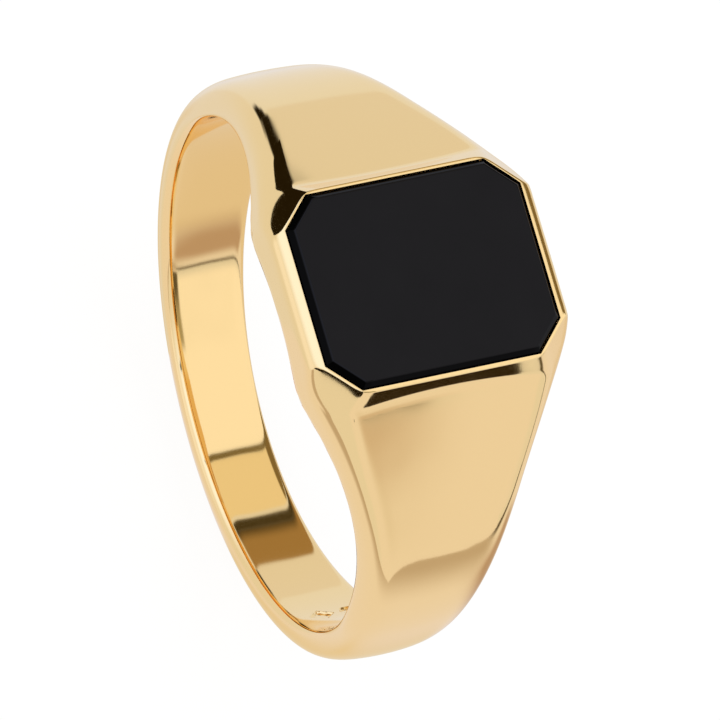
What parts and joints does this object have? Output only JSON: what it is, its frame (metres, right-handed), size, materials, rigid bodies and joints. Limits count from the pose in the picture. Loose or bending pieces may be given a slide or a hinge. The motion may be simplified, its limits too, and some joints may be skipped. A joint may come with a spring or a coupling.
{
  "type": "signet ring",
  "caption": "Signet ring with a cut-corner rectangular black stone set into the head, flat tapered shoulders and a narrow rounded band.",
  "frame": {"origin": "centre of the finger hole, on the finger axis and midway across the band", "axes": "+Y along the finger axis, +Z straight out through the middle of the head and its stone, +X around the finger at the head"},
  "size_m": [0.0216, 0.0104, 0.0224],
  "materials": {
    "gold_plate": "mirror polished yellow gold plate",
    "black_onyx": "polished opaque black",
    "setting_cement": "cured matt cement"
  },
  "bodies": {
    "root": {"ring_body": "gold_plate", "onyx_stone": "black_onyx", "cement_bed": "setting_cement"}
  },
  "joints": []
}
